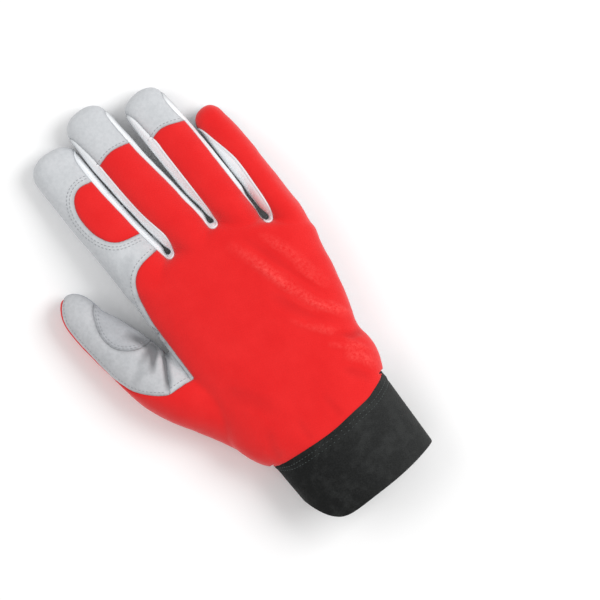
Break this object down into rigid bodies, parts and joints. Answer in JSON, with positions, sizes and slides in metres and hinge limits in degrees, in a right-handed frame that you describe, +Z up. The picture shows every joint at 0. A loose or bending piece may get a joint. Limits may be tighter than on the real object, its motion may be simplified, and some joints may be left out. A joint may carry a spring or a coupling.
{
  "type": "mechanic glove",
  "caption": "Right-hand work glove with a cloth back, suede palm, leather fingertips and a hook-and-loop cuff tab, lying on its palm, filled out.",
  "frame": {"origin": "on the floor under the middle of the glove's bounding box", "axes": "+Z up out of the back of the hand, +Y from the cuff to the fingertips, -X towards the thumb"},
  "size_m": [0.1414, 0.2598, 0.0403],
  "materials": {
    "red_cloth": "matt stretch cloth",
    "red_insert": "matt stretch cloth",
    "palm_suede": "grey suede, matt and mottled",
    "thumb_suede": "grey suede, matt and mottled",
    "thumb_light_leather": "light grey leather, matt",
    "gusset_light_leather": "light grey leather, matt",
    "index_light_leather": "light grey leather, matt",
    "middle_cap_leather": "light grey leather, matt",
    "ring_cap_leather": "light grey leather, matt",
    "side_wall_leather": "grey suede, matt",
    "cuff_cloth": "black stretch cloth with a fine rib",
    "strap_panel": "black hook-and-loop tab, satin",
    "strap_binding": "black rolled binding, satin"
  },
  "bodies": {
    "root": {"back_panel": "red_cloth", "index_insert": "red_insert", "palm_leather": "palm_suede", "thumb_insert": "thumb_suede", "thumb_leather": "thumb_light_leather", "thumb_gusset": "gusset_light_leather", "index_leather": "index_light_leather", "middle_cap": "middle_cap_leather", "ring_cap": "ring_cap_leather", "fourchette_index_middle": "side_wall_leather", "fourchette_middle_ring": "side_wall_leather", "fourchette_ring_little": "side_wall_leather", "cuff": "cuff_cloth", "strap_panel": "strap_panel", "strap_binding": "strap_binding"}
  },
  "joints": []
}
